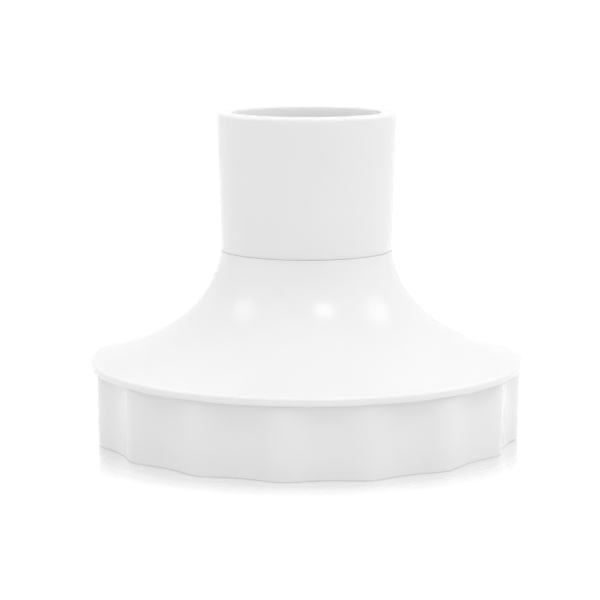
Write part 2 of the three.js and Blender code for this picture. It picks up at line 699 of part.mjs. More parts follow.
function ringGear() {
  const teeth = gearOutline(ringTeeth, true);
  const flange = raised(circle(gearboxRadius, GEARBOX_FACETS), ringBottom, ringFlangeTop, teeth);
  const body = raised(circle(ringOutside, GEARBOX_FACETS), ringBottom, gearTop + SEAT_GAP, teeth);
  const hole = rod(screwHole, ringBottom - OVERLAP, ringFlangeTop + OVERLAP);
  return cut(
    joined(flange, body),
    spread(hole, GEAR_SCREWS, gearScrewCircle, Math.PI / GEAR_SCREWS),
  );
}

function gearHousing() {
  const flangeTop = housingBottom + WALL;
  const pot = turned(
    [
      [housingInside, housingBottom],
      [gearboxRadius, housingBottom],
      [gearboxRadius, flangeTop],
      [housingOutside, flangeTop],
      [housingOutside, housingTop],
      [bossOutside, housingTop],
      [bossOutside, lowerBushTop],
      [bushSeat, lowerBushTop],
      [bushSeat, lowerBushPocket],
      [shaftHole, lowerBushPocket],
      [shaftHole, housingCeiling],
      [housingInside, housingCeiling],
    ],
    GEARBOX_FACETS,
  );
  const pilotTop = gearScrewSeat + GEAR_SCREW_LENGTH + SEAT_GAP;
  const boss = rod(SCREW_BOSS_RADIUS, flangeTop - OVERLAP, pilotTop + BOSS_WEB, BOSS_FACETS);
  const pilot = rod(pilotRadius, housingBottom - OVERLAP, pilotTop);
  const firstAngle = Math.PI / GEAR_SCREWS;
  return cut(
    joined(pot, spread(boss, GEAR_SCREWS, gearScrewCircle, firstAngle)),
    spread(pilot, GEAR_SCREWS, gearScrewCircle, firstAngle),
  );
}

function planetCarrier() {
  const disc = rod(carrierRadius, carrierBottom, carrierTop, GEARBOX_FACETS);
  const pillar = rod(PILLAR_RADIUS, carrierTop - OVERLAP, pillarTop, BOSS_FACETS);
  const stake = rod(STAKE_RADIUS, pillarTop - OVERLAP, plateTop);
  const pinTop = carrierTop + OVERLAP;
  const pinHole = rod(PIN_RADIUS + PRESS_GAP, carrierTop - PIN_SEAT, pinTop, BOSS_FACETS);
  const betweenPlanets = Math.PI / PLANETS;
  return cut(
    joined(
      disc,
      spread(pillar, PLANETS, pillarCircle, betweenPlanets),
      spread(stake, PLANETS, pillarCircle, betweenPlanets),
    ),
    spread(pinHole, PLANETS, planetCircle),
    raised(hexagon(spigotHex + 2 * PRESS_GAP), carrierBottom - OVERLAP, carrierWebBottom),
    rod(screwHole, carrierBottom, carrierTop),
    rod(SCREW_HEAD_RADIUS + SIDE_GAP, outputScrewSeat - SEAT_GAP, carrierTop + OVERLAP),
  );
}

function carrierPlate() {
  const ring = tube(CARRIER_PLATE_BORE, carrierRadius, plateBottom, plateTop, GEARBOX_FACETS);
  const stakeHole = rod(STAKE_RADIUS + PRESS_GAP, plateBottom - OVERLAP, plateTop + OVERLAP);
  const pinTop = plateTop + OVERLAP;
  const pinHole = rod(PIN_RADIUS + PRESS_GAP, plateBottom - OVERLAP, pinTop, BOSS_FACETS);
  return cut(
    ring,
    spread(stakeHole, PLANETS, pillarCircle, Math.PI / PLANETS),
    spread(pinHole, PLANETS, planetCircle),
  );
}

function outputSocket() {
  const hub = joined(
    rod(outputLipRadius, outputMouth, outputMouth + OUTPUT_LIP, GEARBOX_FACETS),
    rod(OUTPUT_RADIUS, outputMouth, outputShoulder, GEARBOX_FACETS),
    raised(hexagon(spigotHex), outputShoulder - OVERLAP, spigotTop),
  );
  const pilotBottom = outputScrewSeat - OUTPUT_SCREW_LENGTH - SEAT_GAP;
  const hexTop = outputMouth + OUTPUT_HEX_DEPTH;
  return cut(
    hub,
    raised(hexagon(OUTPUT_HEX), outputMouth - OVERLAP, hexTop),
    rod(pilotRadius, pilotBottom, spigotTop + OVERLAP),
  );
}

// ---------------------------------------------------------------- fasteners
// A pan-head screw that points up, with its head's bearing face at height zero.
function screw(length) {
  const body = turned(
    [
      [0, -SCREW_HEAD],
      [SCREW_HEAD_RADIUS - SCREW_HEAD_SLOPE, -SCREW_HEAD],
      [SCREW_HEAD_RADIUS, -SCREW_HEAD_SIDE],
      [SCREW_HEAD_RADIUS, 0],
      [SCREW_RADIUS, 0],
      [SCREW_RADIUS, length - SCREW_TIP],
      [SCREW_TIP_RADIUS, length],
      [0, length],
    ],
    SCREW_FACETS,
  );
  const bar = block(RECESS_LENGTH, RECESS_WIDTH, -SCREW_HEAD - OVERLAP, RECESS_DEPTH - SCREW_HEAD);
  return cut(body, bar, bar.clone().rotateZ(Math.PI / 2));
}

// ---------------------------------------------------------------- assembly
function piece(name, shape, material) {
  const mesh = new THREE.Mesh(geometryOf(shape), material);
  mesh.name = name;
  return mesh;
}

function at(height, mesh) {
  mesh.position.z = height;
  return mesh;
}

// Numbered copies of one piece on a circle, in a group that holds nothing else.
function ringOf(name, shape, material, count, radius, height, firstAngle = 0) {
  const group = new THREE.Group();
  const geometry = geometryOf(shape);
  for (let i = 0; i < count; i += 1) {
    const arm = new THREE.Group();
    const mesh = new THREE.Mesh(geometry, material);
    mesh.name = `${name}_${i + 1}`;
    mesh.position.set(radius, 0, height);
    arm.rotation.z = firstAngle + (2 * Math.PI * i) / count;
    arm.add(mesh);
    group.add(arm);
  }
  return group;
}

function upsideDown(geometry) {
  return geometryOf(geometry).rotateX(Math.PI);
}

function casing() {
  const group = new THREE.Group();
  const turn = Math.PI / GEAR_SCREWS;
  const oring = new THREE.TorusGeometry(oringCircle, ORING_RADIUS, 6, GEARBOX_FACETS);
  const bush = tube(shaftBore, bushOutside, 0, BUSH_LENGTH, BUSH_FACETS);
  const outputBushLength = coverTop - outputBushPocket - SEAT_GAP;
  const outputBush = tube(outputBore, outputBushOutside, 0, outputBushLength, GEARBOX_FACETS);
  const seal = tube(outputBore, sealOutside, 0, SEAL_HEIGHT, GEARBOX_FACETS);
  const gasket = tube(gasketInside, gasketOutside, 0, GASKET_THICKNESS, FLOOR_FACETS);
  const gearScrew = screw(GEAR_SCREW_LENGTH);
  const coverScrew = screw(COVER_SCREW_LENGTH);
  const socketScrew = upsideDown(screw(SOCKET_SCREW_LENGTH));
  group.add(
    piece("skirt_ring", skirtRing(), whiteGloss),
    piece("bell_cover", bellCover(), whiteGloss),
    piece("collar_sleeve", collarSleeve(), whiteGloss),
    piece("socket_liner", socketLiner(), whiteSatin),
    piece("lid_floor", lidFloor(), whiteSatin),
    piece("gear_cover", gearCover(), whiteSatin),
    piece("gear_housing", gearHousing(), greyPlastic),
    piece("ring_gear", ringGear(), acetal),
    at(FLOOR_BOTTOM - SEAT_GAP - GASKET_THICKNESS, piece("bowl_gasket", gasket, silicone)),
    at(FLOOR_BOTTOM - ORING_RADIUS - PRESS_GAP, piece("cover_oring", oring, blackRubber)),
    at(upperBushBottom, piece("upper_bush", bush, bronze)),
    at(lowerBushBottom, piece("lower_bush", bush, bronze)),
    at(outputBushPocket + SEAT_GAP, piece("output_bush", outputBush, bronze)),
    at(sealBottom, piece("shaft_seal", seal, blackRubber)),
    ringOf("gear_screw", gearScrew, steel, GEAR_SCREWS, gearScrewCircle, gearScrewSeat, turn),
    ringOf("cover_screw", coverScrew, steel, COVER_SCREWS, coverScrewCircle, coverScrewSeat),
    ringOf("socket_screw", socketScrew, steel, SOCKET_SCREWS, socketScrewCircle, socketScrewSeat),
  );
  return group;
}

function inputTrain() {
  const group = new THREE.Group();
  group.add(
    at(couplingBottom, piece("drive_coupling", driveCoupling(), acetal)),
    piece("input_shaft", inputShaft(), steel),
    at(clipBottom, piece("shaft_clip", shaftClip(), steel)),
    at(gearBottom, piece("sun_gear", sunGear(), steel)),
  );
  return group;
}

function outputTrain() {
  const group = new THREE.Group();
  const pin = rod(PIN_RADIUS, carrierTop - PIN_SEAT + SEAT_GAP, plateTop, BOSS_FACETS);
  const outputScrew = upsideDown(screw(OUTPUT_SCREW_LENGTH));
  group.add(
    piece("planet_carrier", planetCarrier(), acetal),
    piece("carrier_plate", carrierPlate(), steel),
    piece("output_socket", outputSocket(), acetal),
    at(outputScrewSeat, piece("output_screw", outputScrew, steel)),
    ringOf("planet_pin", pin, steel, PLANETS, planetCircle, 0),
    ringOf("planet_gear", planetGear(), acetal, PLANETS, planetCircle, gearBottom),
  );
  return group;
}

function washers() {
  const group = new THREE.Group();
  const sunWasher = tube(shaftBore, shaftBore + WASHER_WIDTH, 0, WASHER_THICKNESS, BUSH_FACETS);
  const outside = outputBore + WASHER_WIDTH;
  const carrierWasher = tube(outputBore, outside, 0, WASHER_THICKNESS, GEARBOX_FACETS);
  group.add(
    at(sunWasherBottom, piece("sun_washer", sunWasher, bronze)),
    at(washerBottom, piece("carrier_washer", carrierWasher, bronze)),
  );
  return group;
}

const lid = new THREE.Group();
lid.add(casing(), inputTrain(), outputTrain(), washers());

export default lid;
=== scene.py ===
# Looks of the driving lid for a hand blender's chopping bowl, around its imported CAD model.
# The casing, the parts of the bowl seat and the two drives are rebuilt here with fine, rounded
# surfaces. The gearing that the casing hides keeps its CAD shapes and gets its materials.
import json
import math

import bpy
from mathutils import Matrix, Vector


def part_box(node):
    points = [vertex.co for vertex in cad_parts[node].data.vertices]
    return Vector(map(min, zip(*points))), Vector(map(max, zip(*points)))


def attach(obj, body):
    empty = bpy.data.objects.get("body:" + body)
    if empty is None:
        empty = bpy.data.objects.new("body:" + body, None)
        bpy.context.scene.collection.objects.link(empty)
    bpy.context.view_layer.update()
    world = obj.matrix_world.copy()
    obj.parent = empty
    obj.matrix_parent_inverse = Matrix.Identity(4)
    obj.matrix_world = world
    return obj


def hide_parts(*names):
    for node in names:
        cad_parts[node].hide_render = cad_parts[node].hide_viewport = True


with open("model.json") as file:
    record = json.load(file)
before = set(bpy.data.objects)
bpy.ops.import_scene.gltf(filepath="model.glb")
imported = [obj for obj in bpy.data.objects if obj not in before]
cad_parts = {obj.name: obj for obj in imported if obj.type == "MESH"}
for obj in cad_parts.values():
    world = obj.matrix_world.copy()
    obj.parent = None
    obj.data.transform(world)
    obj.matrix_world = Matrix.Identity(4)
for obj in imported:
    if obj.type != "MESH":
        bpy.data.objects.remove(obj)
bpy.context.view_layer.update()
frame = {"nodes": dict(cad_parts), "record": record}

# ------------------------------------------------------------------ sizes, in millimetres
MM = 0.001

WALL = 2.4
GAP = 0.3  # between pieces that rest on each other
SEAM = 0.08  # what shows of the joints between collar, bell and skirt
SEAM_DROP = 0.15  # how far the collar's joint lies below the middle of its CAD gap
OVERLAP = 1.0  # how far a tool reaches past or into the piece that it cuts or joins

FLUTES = 16
FLUTE_WAVE = 1.3
FLUTE_SHARPNESS = 0.12
SKIRT_DRAFT = 0.5
STEPS_PER_FLUTE = 24
LEDGE_OVERHANG = 3.7
LEDGE_BOTTOM = 19.5
LEDGE_TOP = 21.5
LUGS = 4
LUG_BOTTOM = 2.5
LUG_TOP = 6.0
LUG_REACH = 1.9
LUG_ANGLE = 24
LUG_SLOPE = 0.2  # the share of each half of a lug that slopes
LUG_STEPS = 24
LUG_END = 0.1  # what is left of a lug's depth at its two ends
LOCATING_RIB = 1.8
RIB_ROOT = 0.3  # how far below the bell's inside the rib's inner face ends

BRIM_BOTTOM = 24.65
BRIM_TOP = 27.65
BRIM_ROUNDING = 0.8
BRIM_EDGE_ROUNDING = 0.95
BRIM_EDGE_DROP = 0.15  # how far the corner with that rounding lies below the brim's top
NECK_RADIUS = 29.7
BELL_DROP = 21.8
BELL_LEAN = 2.9
BELL_RUN = 21.0
BELL_RISE = 5.4
BELL_START = 0.02  # where the curve leaves the brim's rounding
BELL_STEPS = 60
BELL_INSIDE_STEPS = 40
BOSS_TOP = 31.2
SHELF_TOP = 63.5
SHELF_HOLE = 8.3

COLLAR_FOOT_RADIUS = 29.6
COLLAR_WALL = 2.0
COLLAR_ROUNDING = 1.3
SOCKET_RADIUS = 25.6
SOCKET_FLOOR = 66.2
LINER_WALL = 1.8
RIM_SKIRT = 12.0  # how far the rim's own tube reaches down into the socket
CATCH_DEPTH = 18.5
BEAD_HEIGHT = 1.8
LATCH_WIDTH = 14.0
LATCH_HEIGHT = 5.0
LATCH_LIFT = 18.1
GUIDES = 4
GUIDE_WIDTH = 1.8
GUIDE_DEPTH = 1.0
GUIDE_LENGTH = 25.1
BOSS_RADIUS = 8.0
BUSH_SEAT = 5.6
BUSH_POCKET_TOP = 62.6
SHAFT_HOLE = 3.45

FLOOR_BOTTOM = 17.0
FLOOR_TOP = 19.2
FLOOR_BORE = 24.2
FLOOR_RIBS = 8
FLOOR_RIB_WIDTH = 1.8
GLAND_WALL = 1.3
GASKET_WIDTH = 4.1
GASKET_LIP = 0.8  # how far the lip stands out below
GASKET_LIP_FOOT = 0.9  # half of the lip's width where it starts
GASKET_LIP_TIP = 0.35

COVER_TOP = 16.7
COVER_BOTTOM = 14.3
SPIGOT_INSIDE = 22.6
SPIGOT_OUTSIDE = 23.9
SEAL_SEAT = 10.65
SEAL_BOSS = 13.05
SEAL_POCKET_TOP = 9.7
SEAL_LIP_RADIUS = 7.15
SEAL_LIP_RISE = 0.7
SEAL_MOUTH_RADIUS = 8.2
SEAL_THROAT_RADIUS = 7.9
BUSH_POCKET = 10.9
OUTPUT_BUSH_SEAT = 9.6
OUTPUT_BORE = 7.3
GROOVE = (29.1, 30.9)  # for the ring that seals the cover
GROOVE_BOTTOM = 15.2

OUTPUT_RADIUS = 7.0
OUTPUT_LIP = 1.7
OUTPUT_SHOULDER = 17.8
OUTPUT_HEX = 9.0
OUTPUT_HEX_DEPTH = 10.0
OUTPUT_LEAD = 0.3  # how far the cone at the mouth reaches past the hexagon's corners
SPIGOT_HEX = 11.0

COUPLING_RADIUS = 6.0
COUPLING_CORE = 4.8
COUPLING_FLANGE = 1.8
COUPLING_LEAD = 1.2
COUPLING_BORE = 3.15
SPLINES = 6
SPLINE_HALF = 0.3  # half of a spline with its flank, as a share of the pitch
SPLINE_FLANK = 0.08

SCREW_RADIUS = 1.5
SCREW_THREAD_HOLE = 1.6
SCREW_HOLE = 1.8
SCREW_BOSS = 3.6
SCREW_HEAD = 1.7
SCREW_HEAD_RADIUS = 2.8
SCREW_LENGTH = 5.2
RECESS_LENGTH = 3.2
RECESS_WIDTH = 0.7
RECESS_DEPTH = 0.9
# of each kind: how many, the radius of their circle, and the angle of the first
GEAR_SCREWS = (4, 36.5, math.pi / 4)
COVER_SCREWS = (4, 56.4, 0.0)
SOCKET_SCREWS = (3, 18.5, 0.0)

ROUND = 256  # segments around the large pieces
LINER_ROUND = 192
HUB_ROUND = 128
SMALL_ROUND = 96
BOSS_ROUND = 48
HOLE_ROUND = 32
ARC_STEPS = 6  # along each rounding of a profile
SHARP = 32  # degrees between two faces, above which the edge between them stays sharp
HUB_CENTRE = 0.5  # radius of the flat cap in the middle of a turned solid
SCREW_CENTRE = 0.3


def low(node):
    return [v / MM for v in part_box(node)[0]]


def high(node):
    return [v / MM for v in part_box(node)[1]]


# ------------------------------------------------------------------ meshes
def rounded(corners, closed=True):
    """A profile of (radius, height) points from (radius, height, rounding) corners."""
    points = []
    count = len(corners)
    for i, corner in enumerate(corners):
        here = Vector(corner[:2])
        rounding = corner[2] if len(corner) > 2 else 0
        at_end = not closed and i in (0, count - 1)
        if rounding == 0 or at_end:
            points.append(tuple(here))
            continue
        before = (Vector(corners[i - 1][:2]) - here).normalized()
        after = (Vector(corners[(i + 1) % count][:2]) - here).normalized()
        half = before.angle(after) / 2
        centre = here + (before + after).normalized() * (rounding / math.sin(half))
        start = here + before * (rounding / math.tan(half)) - centre
        sweep = start.angle_signed(here + after * (rounding / math.tan(half)) - centre)
        for step in range(ARC_STEPS + 1):
            turn = Matrix.Rotation(-sweep * step / ARC_STEPS, 2)
            points.append(tuple(centre + turn @ start))
    return points


def add_mesh(name, vertices, faces):
    mesh = bpy.data.meshes.new(name)
    mesh.from_pydata([[c * MM for c in v] for v in vertices], [], faces)
    mesh.validate()
    piece = bpy.data.objects.new(name, mesh)
    bpy.context.scene.collection.objects.link(piece)
    smooth(piece)
    return piece


def smooth(piece):
    piece.data.shade_smooth()
    piece.data.set_sharp_from_angle(angle=math.radians(SHARP))


def skin(name, loops, closed=True):
    """A surface through loops of points. It closes on itself, or is capped at both ends."""
    size = len(loops[0])
    vertices = [point for loop in loops for point in loop]
    faces = []
    pairs = len(loops) if closed else len(loops) - 1
    for i in range(pairs):
        a, b = i * size, (i + 1) % len(loops) * size
        for j in range(size):
            k = (j + 1) % size
            faces.append((a + j, a + k, b + k, b + j))
    if not closed:
        faces.append(tuple(reversed(range(size))))
        faces.append(tuple(range((len(loops) - 1) * size, len(loops) * size)))
    return add_mesh(name, vertices, faces)


def angles(count):
    return [2 * math.pi * j / count for j in range(count)]


def turned(name, profile, segments=ROUND, closed=True):
    """A profile of (radius, height) points, turned about the axis."""
    loops = [
        [(r * math.cos(a), r * math.sin(a), z) for a in angles(segments)]
        for r, z in profile
    ]
    return skin(name, loops, closed)


def rod(name, radius, bottom, top, segments=SMALL_ROUND):
    return turned(name, [(radius, bottom), (radius, top)], segments, closed=False)


def block(name, length, width, bottom, top):
    x, y = length / 2, width / 2
    corners = [(x, y), (-x, y), (-x, -y), (x, -y)]
    loops = [[(cx, cy, z) for cx, cy in corners] for z in (bottom, top)]
    return skin(name, loops, closed=False)


def moved(piece, x=0, y=0, z=0, turn=0):
    """Moves a mesh by millimetres, and then turns it about the axis."""
    place = Matrix.Rotation(turn, 4, "Z") @ Matrix.Translation((x * MM, y * MM, z * MM))
    piece.data.transform(place)
    return piece


def merged(name, pieces):
    """One object with the meshes of several that don't touch."""
    vertices, faces = [], []
    for piece in pieces:
        start = len(vertices)
        vertices += [tuple(c / MM for c in v.co) for v in piece.data.vertices]
        faces += [tuple(start + i for i in face.vertices) for face in piece.data.polygons]
        bpy.data.objects.remove(piece)
    return add_mesh(name, vertices, faces)


def spread(make, count, radius, first=0.0):
    """Copies of what make() builds, moved out and spread evenly about the axis."""
    return merged("tool", [
        moved(make(), x=radius, turn=first + 2 * math.pi * i / count) for i in range(count)
    ])


def combine(piece, tool, operation):
    """Joins or cuts a piece with a tool, which is used up."""
    change = piece.modifiers.new(operation, "BOOLEAN")
    change.operation = operation
    change.solver = "EXACT"
    change.object = tool
    graph = bpy.context.evaluated_depsgraph_get()
    mesh = bpy.data.meshes.new_from_object(piece.evaluated_get(graph))
    piece.modifiers.clear()
    piece.data = mesh
    bpy.data.objects.remove(tool)
    smooth(piece)
    return piece


def cut(piece, tool):
    return combine(piece, tool, "DIFFERENCE")


def join(piece, tool):
    return combine(piece, tool, "UNION")


# ------------------------------------------------------------------ casing
def flute(angle):
    wave = math.cos(FLUTES * angle) + FLUTE_SHARPNESS * math.cos(2 * FLUTES * angle)
    return FLUTE_WAVE * wave


def skirt_mean():
    """The radius at the skirt's foot about which its flutes swing."""
    return high("skirt_ring")[0] - SKIRT_DRAFT - FLUTE_WAVE * (1 + FLUTE_SHARPNESS)


def skirt():
    """The fluted skirt. Each corner of its wall is a radius, a height, a rounding, and how far it
    follows the flutes: 1 on the outside, 0 on the round ledge that clamps the floor."""
    top = BRIM_BOTTOM - SEAM
    mean = skirt_mean()
    inside = mean - WALL
    ledge = inside - FLUTE_WAVE - 2 * GAP - LEDGE_OVERHANG
    corners = [
        (inside, 0, 0.6),
        (mean, 0, 0.4),
        (mean, top, 0.15),
        (inside, top, 0.4),
        (inside, LEDGE_TOP, 0.3),
        (ledge, LEDGE_TOP, 0.4),
        (ledge, LEDGE_BOTTOM, 0.4),
        (inside, LEDGE_BOTTOM, 0.3),
    ]
    loops = []
    for radius, height in rounded(corners):
        follow = min(1, max(0, (radius - ledge) / (inside - FLUTE_WAVE - ledge)))
        draft = SKIRT_DRAFT * height / top * follow
        loop = []
        for a in angles(FLUTES * STEPS_PER_FLUTE):
            r = radius + draft + follow * flute(a)
            loop.append((r * math.cos(a), r * math.sin(a), height))
        loops.append(loop)
    return join(skin("skirt_shell", loops), lugs(inside))


def lugs(inside):
    """The bayonet lugs inside the skirt, each an arc with a slope at its two ends."""
    half = math.radians(LUG_ANGLE) / 2
    outer = inside + WALL / 2 - FLUTE_WAVE
    inner = inside - FLUTE_WAVE - LUG_REACH
    section = rounded([
        (inner, LUG_BOTTOM, 0.5),
        (outer, LUG_BOTTOM),
        (outer, LUG_TOP),
        (inner, LUG_TOP, 0.5),
    ])
    made = []
    for lug in range(LUGS):
        middle = 2 * math.pi * (lug + 0.5) / LUGS
        loops = []
        for i in range(LUG_STEPS + 1):
            share = 2 * i / LUG_STEPS - 1
            rise = max(0, abs(share) - (1 - LUG_SLOPE)) / LUG_SLOPE
            a = middle + half * share
            loop = []
            for radius, height in section:
                r = radius + (outer - LUG_END - radius) * rise if radius < outer else radius
                loop.append((r * math.cos(a), r * math.sin(a), height))
            loops.append(loop)
        made.append(skin("lug", loops, closed=False))
    return merged("tool", made)


def screw_holes(bottom, top, screws):
    """A tool that cuts clearance holes for screws through a plate."""
    def hole():
        return rod("hole", SCREW_HOLE, bottom - OVERLAP, top + OVERLAP, HOLE_ROUND)

    return spread(hole, *screws)


def bell_curve(inset, steps, start=0.0):
    """Points on the bell's curve, from the brim up to the neck, moved in by an inset."""
    brim = high("bell_cover")[0] - BRIM_ROUNDING
    neck = high("bell_cover")[2]
    a = Vector((brim, BRIM_TOP))
    b = Vector((brim - BELL_RUN, BRIM_TOP + BELL_RISE))
    c = Vector((NECK_RADIUS + BELL_LEAN, neck - BELL_DROP))
    d = Vector((NECK_RADIUS, neck))
    points = []
    for i in range(steps + 1):
        t = start + (1 - start) * i / steps
        s = 1 - t
        at = s**3 * a + 3 * s * s * t * b + 3 * s * t * t * c + t**3 * d
        along = (s * s * (b - a) + 2 * s * t * (c - b) + t * t * (d - c)).normalized()
        points.append((at.x - along.y * inset, at.y + along.x * inset))
    return points


def bell():
    brim = high("bell_cover")[0]
    neck = seam_height() - SEAM / 2
    rib_outside = skirt_mean() - WALL - FLUTE_WAVE - GAP
    rib_inside = rib_outside - LOCATING_RIB
    rib_bottom = LEDGE_TOP + GAP
    neck_inside = SOCKET_RADIUS + LINER_WALL + GAP
    shelf_bottom = SHELF_TOP - WALL
    outside = bell_curve(0, BELL_STEPS, BELL_START)[:-1]
    inside = [
        (radius, height) for radius, height in bell_curve(WALL, BELL_INSIDE_STEPS)
        if radius < rib_inside - OVERLAP and height < shelf_bottom - OVERLAP
    ]
    corners = [
        (rib_inside, rib_bottom, 0.4),
        (rib_outside, rib_bottom, 0.4),
        (rib_outside, BRIM_BOTTOM, 0.3),
        (brim, BRIM_BOTTOM, BRIM_ROUNDING),
        (brim, BRIM_TOP - BRIM_EDGE_DROP, BRIM_EDGE_ROUNDING),
        *outside,
        (NECK_RADIUS, neck, 0.12),
        (neck_inside, neck, 0.12),
        (neck_inside, SHELF_TOP, 0.3),
        (SHELF_HOLE, SHELF_TOP, 0.3),
        (SHELF_HOLE, shelf_bottom, 0.3),
        (inside[-1][0], shelf_bottom),
        *reversed(inside),
        (rib_inside, inside[0][1] - RIB_ROOT),
    ]
    shell = turned("bell_shell", rounded(corners))
    floor_screw_top = high("cover_screw_1")[2] + GAP
    socket_screw_low = low("socket_screw_1")[2] - GAP

    def boss(bottom, top):
        return lambda: rod("boss", SCREW_BOSS, bottom, top, BOSS_ROUND)

    def hole(bottom, top):
        return lambda: rod("hole", SCREW_THREAD_HOLE, bottom, top, HOLE_ROUND)

    join(shell, spread(boss(FLOOR_TOP + GAP, BOSS_TOP), *COVER_SCREWS))
    socket_boss = boss(socket_screw_low - WALL / 2, SHELF_TOP - WALL / 2)
    join(shell, spread(socket_boss, *SOCKET_SCREWS))
    cut(shell, spread(hole(0, floor_screw_top), *COVER_SCREWS))
    socket_hole = hole(socket_screw_low, SHELF_TOP + OVERLAP)
    return cut(shell, spread(socket_hole, *SOCKET_SCREWS))


def seam_height():
    """The height of the joint between the collar and the bell's neck."""
    return (high("bell_cover")[2] + low("collar_sleeve")[2]) / 2 - SEAM_DROP


def collar():
    top = high("collar_sleeve")[2]
    rim = high("collar_sleeve")[0]
    foot = seam_height() + SEAM / 2
    liner = SOCKET_RADIUS + LINER_WALL
    wall = rim - COLLAR_WALL
    corners = [
        (liner + GAP, foot, 0.12),
        (COLLAR_FOOT_RADIUS, foot, 0.12),
        (rim, top, COLLAR_ROUNDING),
        (SOCKET_RADIUS, top, 0.5),
        (SOCKET_RADIUS, top - RIM_SKIRT, 0.2),
        (liner, top - RIM_SKIRT, 0.2),
        (liner, top - WALL, 0.4),
        (wall, top - WALL, 0.4),
        (wall, top - CATCH_DEPTH, 0.2),
        (liner + GAP, top - CATCH_DEPTH, 0.2),
    ]
    return turned("collar_shell", rounded(corners))


def liner():
    foot = SOCKET_FLOOR - WALL
    outside = SOCKET_RADIUS + LINER_WALL
    bead = high("collar_sleeve")[2] - CATCH_DEPTH + GAP
    bead_radius = high("socket_liner")[0]
    top = high("socket_liner")[2]
    corners = [
        (BUSH_SEAT, low("socket_liner")[2], 0.3),
        (BOSS_RADIUS, low("socket_liner")[2], 0.4),
        (BOSS_RADIUS, foot, 0.5),
        (outside, foot, 0.4),
        (outside, bead, 0.1),
        (bead_radius, bead, 0.3),
        (bead_radius, bead + BEAD_HEIGHT / 2, 0.2),
        (outside, bead + BEAD_HEIGHT, 0.2),
        (outside, top, 0.3),
        (SOCKET_RADIUS, top, 0.3),
        (SOCKET_RADIUS, SOCKET_FLOOR, 1.0),
        (SHAFT_HOLE, SOCKET_FLOOR, 0.3),
        (SHAFT_HOLE, BUSH_POCKET_TOP, 0.2),
        (BUSH_SEAT, BUSH_POCKET_TOP, 0.2),
    ]
    cup = turned("liner_shell", rounded(corners), LINER_ROUND)
    depth = GUIDE_DEPTH + LINER_WALL / 2
    guide_radius = SOCKET_RADIUS + LINER_WALL / 2 - depth / 2
    guide_bottom = SOCKET_FLOOR - OVERLAP
    guide_top = SOCKET_FLOOR + GUIDE_LENGTH

    def guide():
        return block("guide", depth, GUIDE_WIDTH, guide_bottom, guide_top)

    join(cup, spread(guide, GUIDES, guide_radius, math.pi / GUIDES))
    latch = SOCKET_FLOOR + LATCH_LIFT
    cut(cup, block("latch", 4 * outside, LATCH_WIDTH, latch, latch + LATCH_HEIGHT))
    return cut(cup, screw_holes(foot, SOCKET_FLOOR, SOCKET_SCREWS))


# ------------------------------------------------------------------ floor and bowl seat
def floor_plate():
    radius = high("lid_floor")[0]
    bottom = low("lid_floor")[2]
    gasket_outside = high("bowl_gasket")[0]
    gland_inside = gasket_outside - GASKET_WIDTH - GAP
    gland_outside = gasket_outside + GAP
    corners = [
        (FLOOR_BORE, FLOOR_BOTTOM, 0.3),
        (gland_inside - GLAND_WALL, FLOOR_BOTTOM, 0.5),
        (gland_inside - GLAND_WALL, bottom, 0.5),
        (gland_inside, bottom, 0.3),
        (gland_inside, FLOOR_BOTTOM, 0.3),
        (gland_outside, FLOOR_BOTTOM, 0.3),
        (gland_outside, bottom, 0.3),
        (radius, bottom, 0.5),
        (radius, FLOOR_TOP, 0.5),
        (FLOOR_BORE, FLOOR_TOP, 0.3),
    ]
    plate = turned("floor_shell", rounded(corners))
    start = high("gear_cover")[0] + GAP
    end = radius - LEDGE_OVERHANG - GAP
    top = high("lid_floor")[2]

    def rib():
        return block("rib", end - start, FLOOR_RIB_WIDTH, FLOOR_TOP - OVERLAP, top)

    join(plate, spread(rib, FLOOR_RIBS, (start + end) / 2, math.pi / FLOOR_RIBS))
    cut(plate, screw_holes(FLOOR_BOTTOM, FLOOR_TOP, GEAR_SCREWS))
    return cut(plate, screw_holes(FLOOR_BOTTOM, FLOOR_TOP, COVER_SCREWS))


def gear_cover():
    radius = high("gear_cover")[0]
    bottom = low("gear_cover")[2]
    top = high("gear_cover")[2]
    corners = [
        (SEAL_SEAT, bottom, 0.3),
        (SEAL_BOSS, bottom, 0.6),
        (SEAL_BOSS, COVER_BOTTOM, 0.8),
        (radius, COVER_BOTTOM, 0.6),
        (radius, COVER_TOP, 0.4),
        (GROOVE[1], COVER_TOP, 0.1),
        (GROOVE[1], GROOVE_BOTTOM, 0.2),
        (GROOVE[0], GROOVE_BOTTOM, 0.2),
        (GROOVE[0], COVER_TOP, 0.1),
        (SPIGOT_OUTSIDE, COVER_TOP, 0.2),
        (SPIGOT_OUTSIDE, top, 0.3),
        (SPIGOT_INSIDE, top, 0.3),
        (SPIGOT_INSIDE, COVER_TOP, 0.2),
        (OUTPUT_BUSH_SEAT, COVER_TOP, 0.2),
        (OUTPUT_BUSH_SEAT, BUSH_POCKET, 0.1),
        (OUTPUT_BORE, BUSH_POCKET, 0.1),
        (OUTPUT_BORE, SEAL_POCKET_TOP, 0.1),
        (SEAL_SEAT, SEAL_POCKET_TOP, 0.1),
    ]
    plate = turned("gear_cover_shell", rounded(corners), LINER_ROUND)
    return cut(plate, screw_holes(COVER_BOTTOM, COVER_TOP, GEAR_SCREWS))


